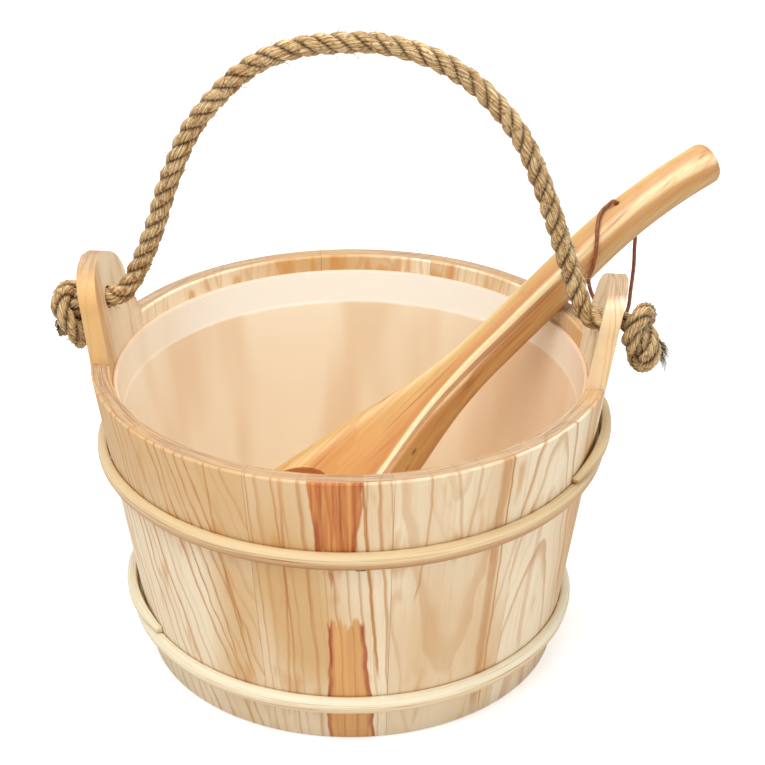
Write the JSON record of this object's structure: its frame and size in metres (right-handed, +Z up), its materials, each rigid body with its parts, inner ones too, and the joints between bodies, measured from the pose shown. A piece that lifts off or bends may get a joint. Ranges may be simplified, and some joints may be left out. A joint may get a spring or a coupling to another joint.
{
  "type": "sauna bucket with ladle",
  "caption": "Tapered pine stave bucket with two tall ears, a rope bail, cane hoops, a plastic liner and a carved wooden ladle standing in it, for throwing water on hot sauna stones.",
  "frame": {"origin": "centre of the bottom board's underside, on the tub's axis", "axes": "+Z up along the tub's axis, +X along the line of the two ears, +Y to the back"},
  "size_m": [0.3539, 0.2746, 0.3439],
  "materials": {
    "pine": "planed and sanded pale pine, matt",
    "board_pine": "planed pine board, matt",
    "liner_plastic": "smooth moulded plastic, semi-gloss",
    "cane": "split cane strip, rind outwards, satin",
    "hemp": "three-strand natural fibre rope, rough",
    "ladle_wood": "carved and lightly oiled wood, satin",
    "leather": "dark round leather lace, worn",
    "staple_steel": "bent staple wire, dull"
  },
  "bodies": {
    "bucket": {"stave_front_1": "pine", "stave_front_2": "pine", "stave_front_3": "pine", "stave_front_4": "pine", "stave_front_5": "pine", "stave_back_1": "pine", "stave_back_2": "pine", "stave_back_3": "pine", "stave_back_4": "pine", "stave_back_5": "pine", "ear_stave_right": "pine", "ear_stave_left": "pine", "bottom_board": "board_pine", "liner": "liner_plastic", "upper_hoop": "cane", "lower_hoop": "cane", "staple_upper": "staple_steel", "staple_lower": "staple_steel"},
    "bail": {"rope_handle": "hemp", "knot_left": "hemp", "knot_right": "hemp"},
    "ladle": {"ladle": "ladle_wood", "ladle_thong": "leather"}
  },
  "joints": [
    {"name": "bail_swing", "type": "hinge", "parent": "bucket", "child": "bail", "pos_m": [0, 0.0064, 0.184], "axis": [1, 0, 0], "range_deg": [-75, 95]},
    {"name": "ladle_lift", "type": "slide", "parent": "bucket", "child": "ladle", "axis": [0, 0, 1], "range_m": [0, 0.19]}
  ]
}
